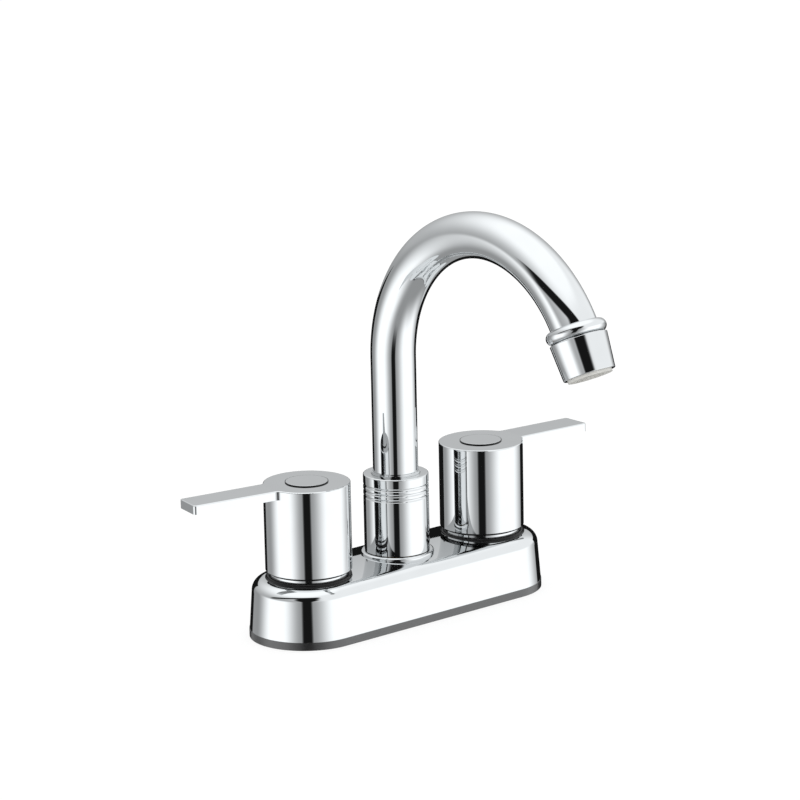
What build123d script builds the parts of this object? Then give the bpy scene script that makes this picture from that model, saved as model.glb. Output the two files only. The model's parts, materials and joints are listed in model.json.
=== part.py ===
from build123d import *
from math import cos, radians, sin
import os

# A centreset tap: two quarter-turn valves and a swivelling spout on one oblong cover.
# Origin: centre of the gasket's underside, on the deck. +Z is up, -Y is the user's side, -X is hot.

# Layout
inlet_spacing = 101.6
hot_lever_angle = 168.8
cold_lever_angle = -1.8
deck_thickness = 18.0

# Clearances
thread_clearance = 0.10
running_clearance = 0.08
seat_clearance = 0.05
assembly_clearance = 0.30

# Gasket and cover: an oblong with full-round ends
cover_end_offset = 52.0
cover_foot_radius = 25.7
cover_height = 22.4
cover_draft = 4.4
cover_edge_radius = 4.0
cover_wall = 2.2
gasket_lip = 0.2
gasket_thickness = 3.5
gasket_rib_width = 1.8
gasket_rib_height = 2.2
handle_boss_step = 0.3
handle_boss_height = 0.9
handle_boss_round = 0.4
spout_boss_radius = 16.45
spout_boss_height = 2.1
spout_boss_round = 0.9

# Waterway: one brass casting with two valve bodies, a cross tube and the spout hub
valve_body_radius = 15.0
valve_neck_radius = 13.6
valve_neck_top = 35.0
valve_bore_radius = 9.2
inlet_bore_radius = 6.5
shank_socket_depth = 6.0
seat_web = 2.5
cross_tube_radius = 6.8
cross_bore_radius = 4.5
cross_bore_rise = 0.3
hub_radius = 13.4
hub_shoulder_z = 30.0
hub_thread_radius = 12.7
hub_top = 48.0
hub_bore_radius = 9.8

# Threaded inlet shanks with their washers and nuts
shank_radius = 11.4
shank_below_deck = 48.0
tail_radius = 10.45
tail_length = 17.0
mount_washer_radius = 17.5
mount_washer_thickness = 1.6
mount_nut_flats = 30.0
mount_nut_height = 9.0
mount_nut_chamfer = 1.2

# Ceramic-disc cartridge
barrel_radius = 8.9
barrel_wall = 1.0
barrel_lift = 1.2
seal_height = 2.6
seal_bore_radius = 5.6
disc_thickness = 2.8
port_ring_radius = 4.3
port_width = 3.4
port_sweep = 60.0
window_width = 8.0
window_height = 4.0
cartridge_thread_radius = 10.4
cartridge_thread_length = 8.0
cartridge_hex_flats = 22.0
cartridge_hex_height = 4.0
gland_radius = 6.5
gland_height = 6.0
stem_radius = 3.95
stem_flange_radius = 6.7
stem_flange_height = 2.1
stem_top = 57.0
spline_length = 9.5
spline_count = 20
spline_depth = 0.45
clip_thickness = 1.0
clip_radius = 5.6
clip_groove_depth = 0.7
clip_gap_width = 4.0
o_ring_section = 0.8
o_ring_groove_width = 2.2

# Bonnet rings, which clamp the cover to the valve bodies
bonnet_skirt_gap = 0.4
bonnet_height = 6.7
bonnet_chamfer = 0.6

# Handles
handle_radius = 19.1
handle_top = 68.6
handle_skirt_gap = 3.0
handle_wall = 1.3
handle_plate = 4.3
handle_edge_round = 0.5
handle_hub_radius = 7.4
lever_reach = 57.9
lever_root_width = 15.0
lever_tip_width = 14.2
lever_thickness = 4.0
lever_fall = 0.6
lever_root_round = 2.4
lever_tip_round = 1.3
button_rim_width = 9.85
button_thickness = 2.2
button_inset = 0.1
button_plug_radius = 4.2
button_plug_length = 1.2
screw_head_radius = 4.2
screw_head_height = 2.4
screw_radius = 2.0
screw_grip = 5.0

# Spout
tube_radius = 10.05
tube_wall = 1.0
arc_start_z = 116.0
arc_radius = 62.4
arc_end_angle = 153.5
outlet_angle = 155.0
socket_sweep = 8.0
stub_foot_z = 24.0
stub_bore_radius = 6.8
stub_flange_radius = 12.3
stub_flange_height = 2.5
stub_spigot_length = 5.5
bearing_washer_thickness = 0.8
spout_nut_radius = 14.6
spout_nut_foot_z = 28.4
spout_nut_top = 63.3
spout_nut_roof = 2.0
spout_nut_edge_round = 0.6
grip_groove_depth = 0.45
grip_groove_width = 1.1
grip_groove_pitch = 2.5
grip_groove_top_z = 57.8
bush_lip_radius = 10.9
bush_lip_height = 1.1

# Outlet: end adapter with its bead, and the aerator, by distance along the outlet axis
bead_start = -6.2
bead_end = -0.7
bead_radius = 13.1
bead_rim_radius = 11.1
nipple_end = 7.0
nipple_radius = 10.4
nipple_bore_radius = 8.2
housing_start = -0.4
housing_end = 15.2
housing_top_radius = 12.45
housing_tip_radius = 11.2
housing_lip = 1.3
housing_edge_round = 0.3
insert_radius = 9.6
insert_wall = 1.1
insert_flange_radius = 10.2
insert_proud = 1.2
insert_grid_pitch = 2.6
insert_grid_bar = 0.9
insert_grid_depth = 2.4
aerator_washer_thickness = 1.9
screen_thickness = 0.8
screen_drop = 1.4
screen_ledge = 0.9
screen_hole_radius = 0.7

# Heights and radii that follow from the sizes above
valve_x = inlet_spacing / 2
handle_boss_radius = handle_radius - handle_boss_step
bonnet_radius = handle_radius - handle_wall - bonnet_skirt_gap
button_radius = handle_radius - button_rim_width
cover_top = gasket_thickness + cover_height
cover_underside = cover_top - cover_wall
bonnet_foot = cover_top + handle_boss_height
handle_foot = bonnet_foot + handle_skirt_gap
handle_plate_underside = handle_top - handle_plate
socket_top = gasket_thickness + shank_socket_depth
seat_z = socket_top + seat_web
cross_z = seat_z + cross_bore_rise + cross_bore_radius
barrel_foot = seat_z + barrel_lift
fixed_disc_z = seat_z + seal_height
moving_disc_z = fixed_disc_z + disc_thickness + seat_clearance
stem_foot = moving_disc_z + disc_thickness + seat_clearance
chamber_top = stem_foot + stem_flange_height + seat_clearance
chamber_radius = barrel_radius - barrel_wall
thread_foot = valve_neck_top - cartridge_thread_length
gland_foot = valve_neck_top + cartridge_hex_height
gland_top = gland_foot + gland_height
clip_z = gland_top + seat_clearance
spline_foot = stem_top - spline_length
cartridge_ring_z = (chamber_top + thread_foot) / 2
stem_ring_z = (chamber_top + gland_top) / 2
stem_bore_radius = stem_radius + running_clearance
screw_seat_z = stem_top + assembly_clearance + screw_grip
button_seat_z = handle_top - button_inset - button_thickness
stub_radius = hub_bore_radius - running_clearance
stub_ring_heights = {
    "lower": stub_foot_z + (hub_top - stub_foot_z) / 3,
    "upper": stub_foot_z + (hub_top - stub_foot_z) * 2 / 3,
}
flange_z = hub_top + bearing_washer_thickness + running_clearance
tube_foot = flange_z + stub_flange_height
bush_foot = tube_foot + running_clearance
nut_roof_z = spout_nut_top - spout_nut_roof
nut_bore_radius = hub_thread_radius + thread_clearance
bush_bore_radius = tube_radius + running_clearance
washer_z = -deck_thickness - mount_washer_thickness
nut_z = washer_z - mount_nut_height
insert_end = housing_end + insert_proud
insert_start = nipple_end + aerator_washer_thickness
insert_shoulder = housing_end - housing_lip - seat_clearance

UPWARD = (Align.CENTER, Align.CENTER, Align.MIN)


def on_spout(angle):
    """Point on the spout's centre line, at an angle from the start of its arc."""
    turn = radians(angle)
    return (0, -arc_radius * (1 - cos(turn)), arc_start_z + arc_radius * sin(turn))


def along_spout(angle):
    """Direction of the spout's centre line, at an angle from the start of its arc."""
    turn = radians(angle)
    return (0, -sin(turn), cos(turn))


outlet = Plane(origin=on_spout(outlet_angle), x_dir=(1, 0, 0), z_dir=along_spout(outlet_angle))
spout_plane = Plane(origin=(0, 0, 0), x_dir=(0, -1, 0), z_dir=(-1, 0, 0))


def finish(builder, name, place=Location()):
    """Label a piece, move it to its place and write it."""
    piece = builder.part.moved(place)
    piece.label = name
    export_step(piece, f"parts/{name}.step")


def turned(outline):
    """A piece of revolution about Z, from the outline of its half section as (radius, height)."""
    with BuildPart() as piece:
        with BuildSketch(Plane.XZ):
            with BuildLine():
                Polyline(*outline, close=True)
            make_face()
        revolve(axis=Axis.Z)
    return piece


def ring(inner, outer, foot, height):
    """A plain flat ring."""
    return turned([(inner, foot), (outer, foot), (outer, foot + height), (inner, foot + height)])


def o_ring(floor_radius, middle_z):
    """A rubber ring of round section that lies on the floor of its groove."""
    with BuildPart() as piece:
        with BuildSketch(Plane.XZ):
            with Locations((floor_radius + seat_clearance + o_ring_section, middle_z)):
                Circle(o_ring_section)
        revolve(axis=Axis.Z)
    return piece


def groove_radius(bore_radius):
    """Floor of the groove whose ring just meets a bore."""
    return bore_radius - 2 * o_ring_section - 2 * seat_clearance


def cut_o_ring_groove(bore_radius, outside_radius, middle_z):
    """Cut the groove of a ring that seals against a bore, in a round piece about Z."""
    with Locations((0, 0, middle_z)):
        Cylinder(outside_radius + 1, o_ring_groove_width, mode=Mode.SUBTRACT)
        Cylinder(groove_radius(bore_radius), o_ring_groove_width)


def deck_gasket():
    """Rubber gasket with a rib that keeps the cover in place."""
    rib_radius = cover_foot_radius - cover_wall - assembly_clearance
    with BuildPart() as gasket:
        with BuildSketch():
            SlotCenterToCenter(2 * cover_end_offset, 2 * (cover_foot_radius + gasket_lip))
        extrude(amount=gasket_thickness)
        with BuildSketch(Plane.XY.offset(gasket_thickness)):
            SlotCenterToCenter(2 * cover_end_offset, 2 * rib_radius)
            SlotCenterToCenter(2 * cover_end_offset, 2 * (rib_radius - gasket_rib_width), mode=Mode.SUBTRACT)
        extrude(amount=gasket_rib_height, taper=cover_draft)
        with Locations((-valve_x, 0), (valve_x, 0)):
            Hole(shank_radius + assembly_clearance)
    return gasket


def base_cover():
    """Chromed shell, open below, with a raised rim round each handle and round the spout."""
    rims = [
        (-valve_x, handle_boss_radius, handle_boss_height, handle_boss_round, valve_neck_radius),
        (valve_x, handle_boss_radius, handle_boss_height, handle_boss_round, valve_neck_radius),
        (0, spout_boss_radius, spout_boss_height, spout_boss_round, hub_radius),
    ]
    with BuildPart() as cover:
        with BuildSketch(Plane.XY.offset(gasket_thickness)):
            SlotCenterToCenter(2 * cover_end_offset, 2 * cover_foot_radius)
        extrude(amount=cover_height, taper=cover_draft)
        fillet(cover.faces().sort_by(Axis.Z)[-1].edges(), cover_edge_radius)
        with BuildSketch(Plane.XY.offset(gasket_thickness)):
            SlotCenterToCenter(2 * cover_end_offset, 2 * (cover_foot_radius - cover_wall))
        extrude(amount=cover_height - cover_wall, taper=cover_draft, mode=Mode.SUBTRACT)
        for x, rim_radius, rim_height, rim_round, passing_radius in rims:
            with Locations((x, 0, cover_top)):
                Cylinder(rim_radius, rim_height, align=UPWARD)
            rim_edge = cover.edges().filter_by(GeomType.CIRCLE).group_by(Axis.Z)[-1]
            fillet(rim_edge.sort_by(lambda edge: abs(edge.arc_center.X - x))[0], rim_round)
            with Locations((x, 0, cover_underside)):
                Cylinder(passing_radius + assembly_clearance, rim_height + cover_wall, align=UPWARD,
                         mode=Mode.SUBTRACT)
    return cover


def waterway_body():
    """Brass casting: two valve bodies joined by a cross tube to the spout hub."""
    with BuildPart() as casting:
        for x in (-valve_x, valve_x):
            with Locations((x, 0, gasket_thickness)):
                Cylinder(valve_body_radius, cover_underside - gasket_thickness, align=UPWARD)
                Cylinder(valve_neck_radius, valve_neck_top - gasket_thickness, align=UPWARD)
        with Locations((0, 0, gasket_thickness)):
            Cylinder(hub_radius, hub_shoulder_z - gasket_thickness, align=UPWARD)
            Cylinder(hub_thread_radius, hub_top - gasket_thickness, align=UPWARD)
        with Locations((0, 0, cross_z)):
            Cylinder(cross_tube_radius, inlet_spacing, rotation=(0, 90, 0))
        for x in (-valve_x, valve_x):
            with Locations((x, 0, gasket_thickness)):
                Cylinder(shank_radius + thread_clearance, shank_socket_depth, align=UPWARD,
                         mode=Mode.SUBTRACT)
                Cylinder(inlet_bore_radius, shank_socket_depth + seat_web, align=UPWARD, mode=Mode.SUBTRACT)
            with Locations((x, 0, seat_z)):
                Cylinder(valve_bore_radius, valve_neck_top - seat_z, align=UPWARD, mode=Mode.SUBTRACT)
            with Locations((x, 0, thread_foot)):
                Cylinder(cartridge_thread_radius + thread_clearance, cartridge_thread_length,
                         align=UPWARD, mode=Mode.SUBTRACT)
        with Locations((0, 0, seat_z)):
            Cylinder(hub_bore_radius, hub_top - seat_z, align=UPWARD, mode=Mode.SUBTRACT)
        with Locations((0, 0, cross_z)):
            Cylinder(cross_bore_radius, inlet_spacing - 2 * barrel_radius, rotation=(0, 90, 0),
                     mode=Mode.SUBTRACT)
    return casting


def inlet_shank():
    """Threaded brass tube for the mounting nut, with a thinner tail for the supply hose."""
    return turned([
        (inlet_bore_radius, -shank_below_deck),
        (tail_radius, -shank_below_deck),
        (tail_radius, tail_length - shank_below_deck),
        (shank_radius, tail_length - shank_below_deck),
        (shank_radius, socket_top),
        (inlet_bore_radius, socket_top),
    ])


def mounting_nut():
    """Hexagonal lock nut under the deck."""
    with BuildPart() as nut:
        with BuildSketch(Plane.XY.offset(nut_z)):
            RegularPolygon(mount_nut_flats / 2, 6, major_radius=False)
        extrude(amount=mount_nut_height)
        with BuildSketch(Plane.XY.offset(nut_z)):
            Circle(mount_nut_flats / 2 + mount_nut_chamfer)
        extrude(amount=mount_nut_height, mode=Mode.INTERSECT)
        with Locations((0, 0, nut_z)):
            Cylinder(shank_radius + thread_clearance, mount_nut_height, align=UPWARD, mode=Mode.SUBTRACT)
    return nut


def cartridge_body():
    """Brass cartridge: barrel with two side windows, thread, hexagon and gland."""
    with BuildPart() as cartridge:
        with Locations((0, 0, barrel_foot)):
            Cylinder(barrel_radius, thread_foot - barrel_foot, align=UPWARD)
        cut_o_ring_groove(valve_bore_radius, barrel_radius, cartridge_ring_z)
        with Locations((0, 0, thread_foot)):
            Cylinder(cartridge_thread_radius, cartridge_thread_length, align=UPWARD)
        with BuildSketch(Plane.XY.offset(valve_neck_top)):
            RegularPolygon(cartridge_hex_flats / 2, 6, major_radius=False)
        extrude(amount=cartridge_hex_height)
        with Locations((0, 0, gland_foot)):
            Cylinder(gland_radius, gland_height, align=UPWARD)
        with Locations((0, 0, barrel_foot)):
            Cylinder(chamber_radius, chamber_top - barrel_foot, align=UPWARD, mode=Mode.SUBTRACT)
            Cylinder(stem_bore_radius, gland_top - barrel_foot, align=UPWARD, mode=Mode.SUBTRACT)
        with Locations((0, 0, moving_disc_z)):
            Box(2 * barrel_radius + 1, window_width, window_height, align=UPWARD, mode=Mode.SUBTRACT)
    return cartridge


def ported_disc(foot, turn, keyed):
    """Ceramic disc with two curved ports, and with two drive notches where the stem turns it."""
    with BuildPart() as disc:
        with BuildSketch(Plane.XY.offset(foot)):
            Circle(chamber_radius - 2 * seat_clearance)
            for side in (turn, turn + 180):
                port = CenterArc((0, 0), port_ring_radius, side - port_sweep / 2, port_sweep,
                                 mode=Mode.PRIVATE)
                SlotArc(port, port_width, mode=Mode.SUBTRACT)
        extrude(amount=disc_thickness)
        if keyed:
            with BuildSketch(Plane.XY.offset(foot + disc_thickness)):
                with PolarLocations(stem_flange_radius - port_width / 4, 2, start_angle=turn + 90):
                    Rectangle(port_width / 2 + seat_clearance * 2, port_width / 2 + seat_clearance * 2)
            extrude(amount=-disc_thickness / 2, mode=Mode.SUBTRACT)
    return disc


def cartridge_stem():
    """Brass stem: drive flange with two lugs, ring and clip grooves, splined head and screw hole."""
    with BuildPart() as stem:
        with Locations((0, 0, stem_foot)):
            Cylinder(stem_flange_radius, stem_flange_height, align=UPWARD)
            Cylinder(stem_radius, stem_top - stem_foot, align=UPWARD)
        with BuildSketch(Plane.XY.offset(stem_foot)):
            with PolarLocations(stem_flange_radius - port_width / 4, 2, start_angle=180):
                Rectangle(port_width / 2, port_width / 2)
        extrude(amount=-disc_thickness / 2 + seat_clearance)
        cut_o_ring_groove(stem_bore_radius, stem_radius, stem_ring_z)
        with Locations((0, 0, clip_z)):
            Cylinder(stem_radius + 1, clip_thickness + seat_clearance, align=UPWARD, mode=Mode.SUBTRACT)
            Cylinder(stem_radius - clip_groove_depth, clip_thickness + seat_clearance, align=UPWARD)
        with BuildSketch(Plane.XY.offset(spline_foot)):
            with PolarLocations(stem_radius, spline_count):
                RegularPolygon(spline_depth, 3, rotation=180)
        extrude(amount=spline_length, mode=Mode.SUBTRACT)
        with Locations((0, 0, stem_top)):
            Hole(screw_radius + seat_clearance, depth=2 * screw_grip)
    return stem


def stem_clip():
    """Open spring ring in the stem's groove, over the gland."""
    with BuildPart() as clip:
        with BuildSketch(Plane.XY.offset(clip_z)):
            Circle(clip_radius)
            Circle(stem_radius - clip_groove_depth + seat_clearance, mode=Mode.SUBTRACT)
            with Locations((clip_radius, 0)):
                Rectangle(2 * clip_radius, clip_gap_width, mode=Mode.SUBTRACT)
        extrude(amount=clip_thickness)
    return clip


def bonnet_ring():
    """Round nut on the valve neck, which clamps the cover and fills the handle's skirt."""
    inner = valve_neck_radius + thread_clearance
    top = bonnet_foot + bonnet_height
    return turned([
        (inner, bonnet_foot),
        (bonnet_radius, bonnet_foot),
        (bonnet_radius, top - bonnet_chamfer),
        (bonnet_radius - bonnet_chamfer, top),
        (inner, top),
    ])


def handle():
    """One casting: skirt, flat top, and a flat lever that runs out along +X."""
    lever_foot = handle_top - lever_thickness
    with BuildPart() as casting:
        with BuildSketch(Plane.XY.offset(lever_foot - lever_fall)) as plan:
            with BuildLine():
                Polyline(
                    (0, -lever_root_width / 2),
                    (lever_reach, -lever_tip_width / 2),
                    (lever_reach, lever_tip_width / 2),
                    (0, lever_root_width / 2),
                    close=True,
                )
            make_face()
            Circle(handle_radius)
            corners = plan.vertices().group_by(Axis.X)
            fillet(corners[-1], lever_tip_round)
            fillet([pair for pair in corners[:-1] if len(pair) == 2][0], lever_root_round)
        extrude(amount=lever_thickness + lever_fall)
        with BuildSketch(Plane.XZ):
            with BuildLine():
                Polyline(
                    (-handle_radius, lever_foot),
                    (handle_radius, lever_foot),
                    (lever_reach, lever_foot - lever_fall),
                    (lever_reach, handle_top - lever_fall),
                    (handle_radius, handle_top),
                    (-handle_radius, handle_top),
                    close=True,
                )
            make_face()
        extrude(amount=handle_radius, both=True, mode=Mode.INTERSECT)
        with Locations((0, 0, handle_foot)):
            Cylinder(handle_radius, handle_top - handle_foot, align=UPWARD)
            Cylinder(handle_radius - handle_wall, handle_plate_underside - handle_foot, align=UPWARD,
                     mode=Mode.SUBTRACT)
        upper = casting.edges().filter_by(lambda edge: edge.center().Z > handle_top - 1.01 * lever_fall)
        rim = upper.filter_by(
            lambda edge: edge.geom_type != GeomType.LINE or abs(edge.tangent_at(0).X) > 0.5
        )
        fillet(rim, handle_edge_round)
        with Locations((0, 0, spline_foot)):
            Cylinder(handle_hub_radius, handle_plate_underside - spline_foot, align=UPWARD)
            Cylinder(stem_radius + thread_clearance, stem_top + assembly_clearance - spline_foot,
                     align=UPWARD, mode=Mode.SUBTRACT)
            Cylinder(screw_radius + assembly_clearance, handle_top - spline_foot, align=UPWARD,
                     mode=Mode.SUBTRACT)
        with Locations((0, 0, screw_seat_z)):
            Cylinder(screw_head_radius + assembly_clearance, handle_top - screw_seat_z, align=UPWARD,
                     mode=Mode.SUBTRACT)
        with Locations((0, 0, button_seat_z)):
            Cylinder(button_radius + assembly_clearance, handle_top - button_seat_z, align=UPWARD,
                     mode=Mode.SUBTRACT)
    return casting


def handle_screw():
    """Pan-head screw that holds the handle on the stem."""
    with BuildPart() as screw:
        with Locations((0, 0, stem_top - 2 * screw_grip + 1)):
            Cylinder(screw_radius, screw_seat_z - stem_top + 2 * screw_grip - 1, align=UPWARD)
        with Locations((0, 0, screw_seat_z)):
            Cylinder(screw_head_radius, screw_head_height, align=UPWARD)
    return screw


def index_button():
    """Flush round cap over the screw, with a plug below it."""
    with BuildPart() as button:
        with Locations((0, 0, button_seat_z)):
            Cylinder(button_radius, button_thickness, align=UPWARD)
        with Locations((0, 0, button_seat_z - button_plug_length)):
            Cylinder(button_plug_radius, button_plug_length, align=UPWARD)
    return button


def spout_tube():
    """Bent tube: an upright and one long round arc."""
    with BuildPart() as tube:
        with BuildLine(spout_plane) as route:
            Line((0, tube_foot), (0, arc_start_z))
            CenterArc((arc_radius, arc_start_z), arc_radius, 180, -arc_end_angle)
        with BuildSketch(Plane.XY.offset(tube_foot)):
            Circle(tube_radius)
            Circle(tube_radius - tube_wall, mode=Mode.SUBTRACT)
        sweep(path=route.line)
    return tube


def spout_stub():
    """Brass foot of the spout: sealed barrel in the hub, flange under the nut, spigot in the tube."""
    with BuildPart() as stub:
        with Locations((0, 0, stub_foot_z)):
            Cylinder(stub_radius, flange_z - stub_foot_z, align=UPWARD)
        for ring_z in stub_ring_heights.values():
            cut_o_ring_groove(hub_bore_radius, stub_radius, ring_z)
        with Locations((0, 0, flange_z)):
            Cylinder(stub_flange_radius, stub_flange_height, align=UPWARD)
        with Locations((0, 0, tube_foot)):
            Cylinder(tube_radius - tube_wall - seat_clearance, stub_spigot_length, align=UPWARD)
        with Locations((0, 0, stub_foot_z)):
            Cylinder(stub_bore_radius, tube_foot + stub_spigot_length - stub_foot_z, align=UPWARD,
                     mode=Mode.SUBTRACT)
    return stub


def spout_nut():
    """Tall chromed nut over the hub, with three fine grip grooves near its top."""
    lip_hole = bush_lip_radius + thread_clearance
    grooves = [grip_groove_top_z - index * grip_groove_pitch for index in range(3)]
    half = grip_groove_width / 2
    with BuildPart() as nut:
        with BuildSketch(Plane.XZ):
            with BuildLine():
                Polyline(
                    (hub_radius + assembly_clearance, hub_shoulder_z),
                    (hub_radius + assembly_clearance, spout_nut_foot_z),
                    (spout_nut_radius, spout_nut_foot_z),
                    (spout_nut_radius, spout_nut_top),
                    (lip_hole, spout_nut_top),
                    (lip_hole, nut_roof_z),
                    (nut_bore_radius, nut_roof_z),
                    (nut_bore_radius, hub_shoulder_z),
                    close=True,
                )
            make_face()
            for z in grooves:
                with BuildLine():
                    Polyline((spout_nut_radius, z - half), (spout_nut_radius, z + half),
                             (spout_nut_radius - grip_groove_depth, z), close=True)
                make_face(mode=Mode.SUBTRACT)
        revolve(axis=Axis.Z)
        fillet(nut.edges().group_by(Axis.Z)[-1].sort_by(lambda edge: edge.radius)[-1], spout_nut_edge_round)
    return nut


def spout_bush():
    """Plastic bush between the nut and the tube, with a lip that stands out of the nut."""
    body = nut_bore_radius - running_clearance
    top = spout_nut_top + bush_lip_height
    return turned([
        (bush_bore_radius, bush_foot),
        (body, bush_foot),
        (body, nut_roof_z),
        (bush_lip_radius, nut_roof_z),
        (bush_lip_radius, top),
        (bush_bore_radius, top),
    ])


def aerator_adapter():
    """End fitting brazed to the tube: a half-round bead and a threaded nipple."""
    bead_middle = (bead_start + bead_end) / 2
    socket_angle = arc_end_angle - socket_sweep
    with BuildPart() as adapter:
        with BuildSketch(Plane.XZ):
            with BuildLine():
                Polyline((bead_rim_radius, bead_start), (nipple_bore_radius, bead_start),
                         (nipple_bore_radius, nipple_end), (nipple_radius, nipple_end),
                         (nipple_radius, bead_end), (bead_rim_radius, bead_end))
                ThreePointArc((bead_rim_radius, bead_end), (bead_radius, bead_middle),
                              (bead_rim_radius, bead_start))
            make_face()
        revolve(axis=Axis.Z)
    with BuildPart() as placed:
        add(adapter.part.moved(outlet.location))
        with BuildLine(spout_plane) as socket_route:
            CenterArc((arc_radius, arc_start_z), arc_radius, 180 - socket_angle, -socket_sweep)
        with BuildSketch(Plane(origin=on_spout(socket_angle), z_dir=along_spout(socket_angle))):
            Circle(tube_radius + seat_clearance)
        sweep(path=socket_route.line, mode=Mode.SUBTRACT)
    return placed


def aerator_housing():
    """Tapered chromed sleeve that screws onto the nipple and holds the insert."""
    thread = nipple_radius + thread_clearance
    with BuildPart() as housing:
        with BuildSketch(Plane.XZ):
            with BuildLine():
                Polyline(
                    (thread, housing_start),
                    (housing_top_radius, housing_start),
                    (housing_tip_radius, housing_end),
                    (insert_radius + thread_clearance, housing_end),
                    (insert_radius + thread_clearance, housing_end - housing_lip),
                    (thread, housing_end - housing_lip),
                    close=True,
                )
            make_face()
        revolve(axis=Axis.Z)
        levels = housing.edges().group_by(Axis.Z)
        rims = [level.sort_by(lambda edge: edge.radius)[-1] for level in (levels[0], levels[-1])]
        fillet(rims, housing_edge_round)
    return housing


def aerator_insert():
    """Plastic cup that closes the outlet with a square grid."""
    cup = insert_radius - insert_wall
    bars = int(2 * cup / insert_grid_pitch) + 1
    grid_foot = insert_end - insert_grid_depth
    with BuildPart() as insert:
        add(turned([
            (cup - screen_ledge, insert_start + screen_drop + screen_thickness),
            (cup, insert_start + screen_drop + screen_thickness),
            (cup, insert_start),
            (insert_flange_radius, insert_start),
            (insert_flange_radius, insert_shoulder),
            (insert_radius, insert_shoulder),
            (insert_radius, insert_end),
            (cup, insert_end),
            (cup, grid_foot),
            (cup - screen_ledge, grid_foot),
        ]).part)
        with BuildSketch(Plane.XY.offset(grid_foot)):
            with GridLocations(insert_grid_pitch, 0, bars, 1):
                Rectangle(insert_grid_bar, 2 * insert_radius)
            with GridLocations(0, insert_grid_pitch, 1, bars):
                Rectangle(2 * insert_radius, insert_grid_bar)
            Circle(cup + insert_wall / 2, mode=Mode.INTERSECT)
        extrude(amount=insert_grid_depth)
    return insert


def aerator_screen():
    """Thin perforated disc that rests on a ledge in the insert."""
    radius = insert_radius - insert_wall - seat_clearance
    with BuildPart() as screen:
        with BuildSketch(Plane.XY.offset(insert_start + screen_drop)):
            Circle(radius)
            Circle(screen_hole_radius, mode=Mode.SUBTRACT)
            for row, count in ((0.32, 6), (0.62, 12)):
                with PolarLocations(row * radius, count):
                    Circle(screen_hole_radius, mode=Mode.SUBTRACT)
        extrude(amount=screen_thickness)
    return screen


os.makedirs("parts", exist_ok=True)

finish(deck_gasket(), "deck_gasket")
finish(base_cover(), "base_cover")
finish(waterway_body(), "waterway_body")

for side, x, lever_angle in (("hot", -valve_x, hot_lever_angle), ("cold", valve_x, cold_lever_angle)):
    valve = Location((x, 0, 0))
    turned_valve = Location((x, 0, 0), (0, 0, lever_angle))
    finish(inlet_shank(), f"{side}_shank", valve)
    finish(ring(shank_radius + assembly_clearance, mount_washer_radius, washer_z, mount_washer_thickness),
           f"{side}_mounting_washer", valve)
    finish(mounting_nut(), f"{side}_mounting_nut", valve)
    finish(ring(seal_bore_radius, chamber_radius - 2 * seat_clearance, seat_z, seal_height),
           f"{side}_seat_seal", valve)
    finish(ported_disc(fixed_disc_z, 0, keyed=False), f"{side}_fixed_disc", valve)
    finish(ported_disc(moving_disc_z, 90, keyed=True), f"{side}_moving_disc", valve)
    finish(cartridge_body(), f"{side}_cartridge_body", valve)
    finish(o_ring(groove_radius(valve_bore_radius), cartridge_ring_z), f"{side}_cartridge_o_ring", valve)
    finish(cartridge_stem(), f"{side}_cartridge_stem", valve)
    finish(o_ring(groove_radius(stem_bore_radius), stem_ring_z), f"{side}_stem_o_ring", valve)
    finish(stem_clip(), f"{side}_stem_clip", valve)
    finish(bonnet_ring(), f"{side}_bonnet_ring", valve)
    finish(handle(), f"{side}_handle", turned_valve)
    finish(handle_screw(), f"{side}_handle_screw", valve)
    finish(index_button(), f"{side}_index_button", valve)

finish(spout_nut(), "spout_nut")
finish(spout_bush(), "spout_bush")
finish(ring(stub_radius + running_clearance, stub_flange_radius, hub_top, bearing_washer_thickness),
       "spout_bearing_washer")
finish(spout_stub(), "spout_stub")
for name, ring_z in stub_ring_heights.items():
    finish(o_ring(groove_radius(hub_bore_radius), ring_z), f"spout_o_ring_{name}")
finish(spout_tube(), "spout_tube")
finish(aerator_adapter(), "aerator_adapter")
finish(aerator_housing(), "aerator_housing", outlet.location)
finish(ring(nipple_bore_radius, nipple_radius, nipple_end, aerator_washer_thickness),
       "aerator_washer", outlet.location)
finish(aerator_insert(), "aerator_insert", outlet.location)
finish(aerator_screen(), "aerator_screen", outlet.location)
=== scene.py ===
import json
import math
import bmesh
import bpy
from mathutils import Matrix, Vector

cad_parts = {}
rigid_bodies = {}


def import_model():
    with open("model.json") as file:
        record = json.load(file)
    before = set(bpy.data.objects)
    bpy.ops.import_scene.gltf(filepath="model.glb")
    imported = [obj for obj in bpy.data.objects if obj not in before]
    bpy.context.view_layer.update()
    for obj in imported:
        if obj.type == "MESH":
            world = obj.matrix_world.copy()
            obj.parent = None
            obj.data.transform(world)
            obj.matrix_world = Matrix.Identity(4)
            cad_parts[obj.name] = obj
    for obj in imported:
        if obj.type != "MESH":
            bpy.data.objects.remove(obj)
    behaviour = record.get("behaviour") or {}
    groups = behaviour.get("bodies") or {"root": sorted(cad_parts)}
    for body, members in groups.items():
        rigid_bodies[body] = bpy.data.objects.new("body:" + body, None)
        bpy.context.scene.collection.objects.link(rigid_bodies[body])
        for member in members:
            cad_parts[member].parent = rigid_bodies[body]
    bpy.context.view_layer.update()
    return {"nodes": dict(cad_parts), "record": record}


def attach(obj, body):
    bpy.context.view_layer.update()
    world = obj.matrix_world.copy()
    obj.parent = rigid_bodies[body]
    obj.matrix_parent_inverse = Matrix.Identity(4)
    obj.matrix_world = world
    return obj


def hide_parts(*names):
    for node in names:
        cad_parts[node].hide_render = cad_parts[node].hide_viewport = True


# A chromed centreset tap in a white light tent. Metres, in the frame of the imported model.

for leftover in list(bpy.data.objects):
    bpy.data.objects.remove(leftover)

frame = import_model()
nodes = frame["nodes"]

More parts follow.
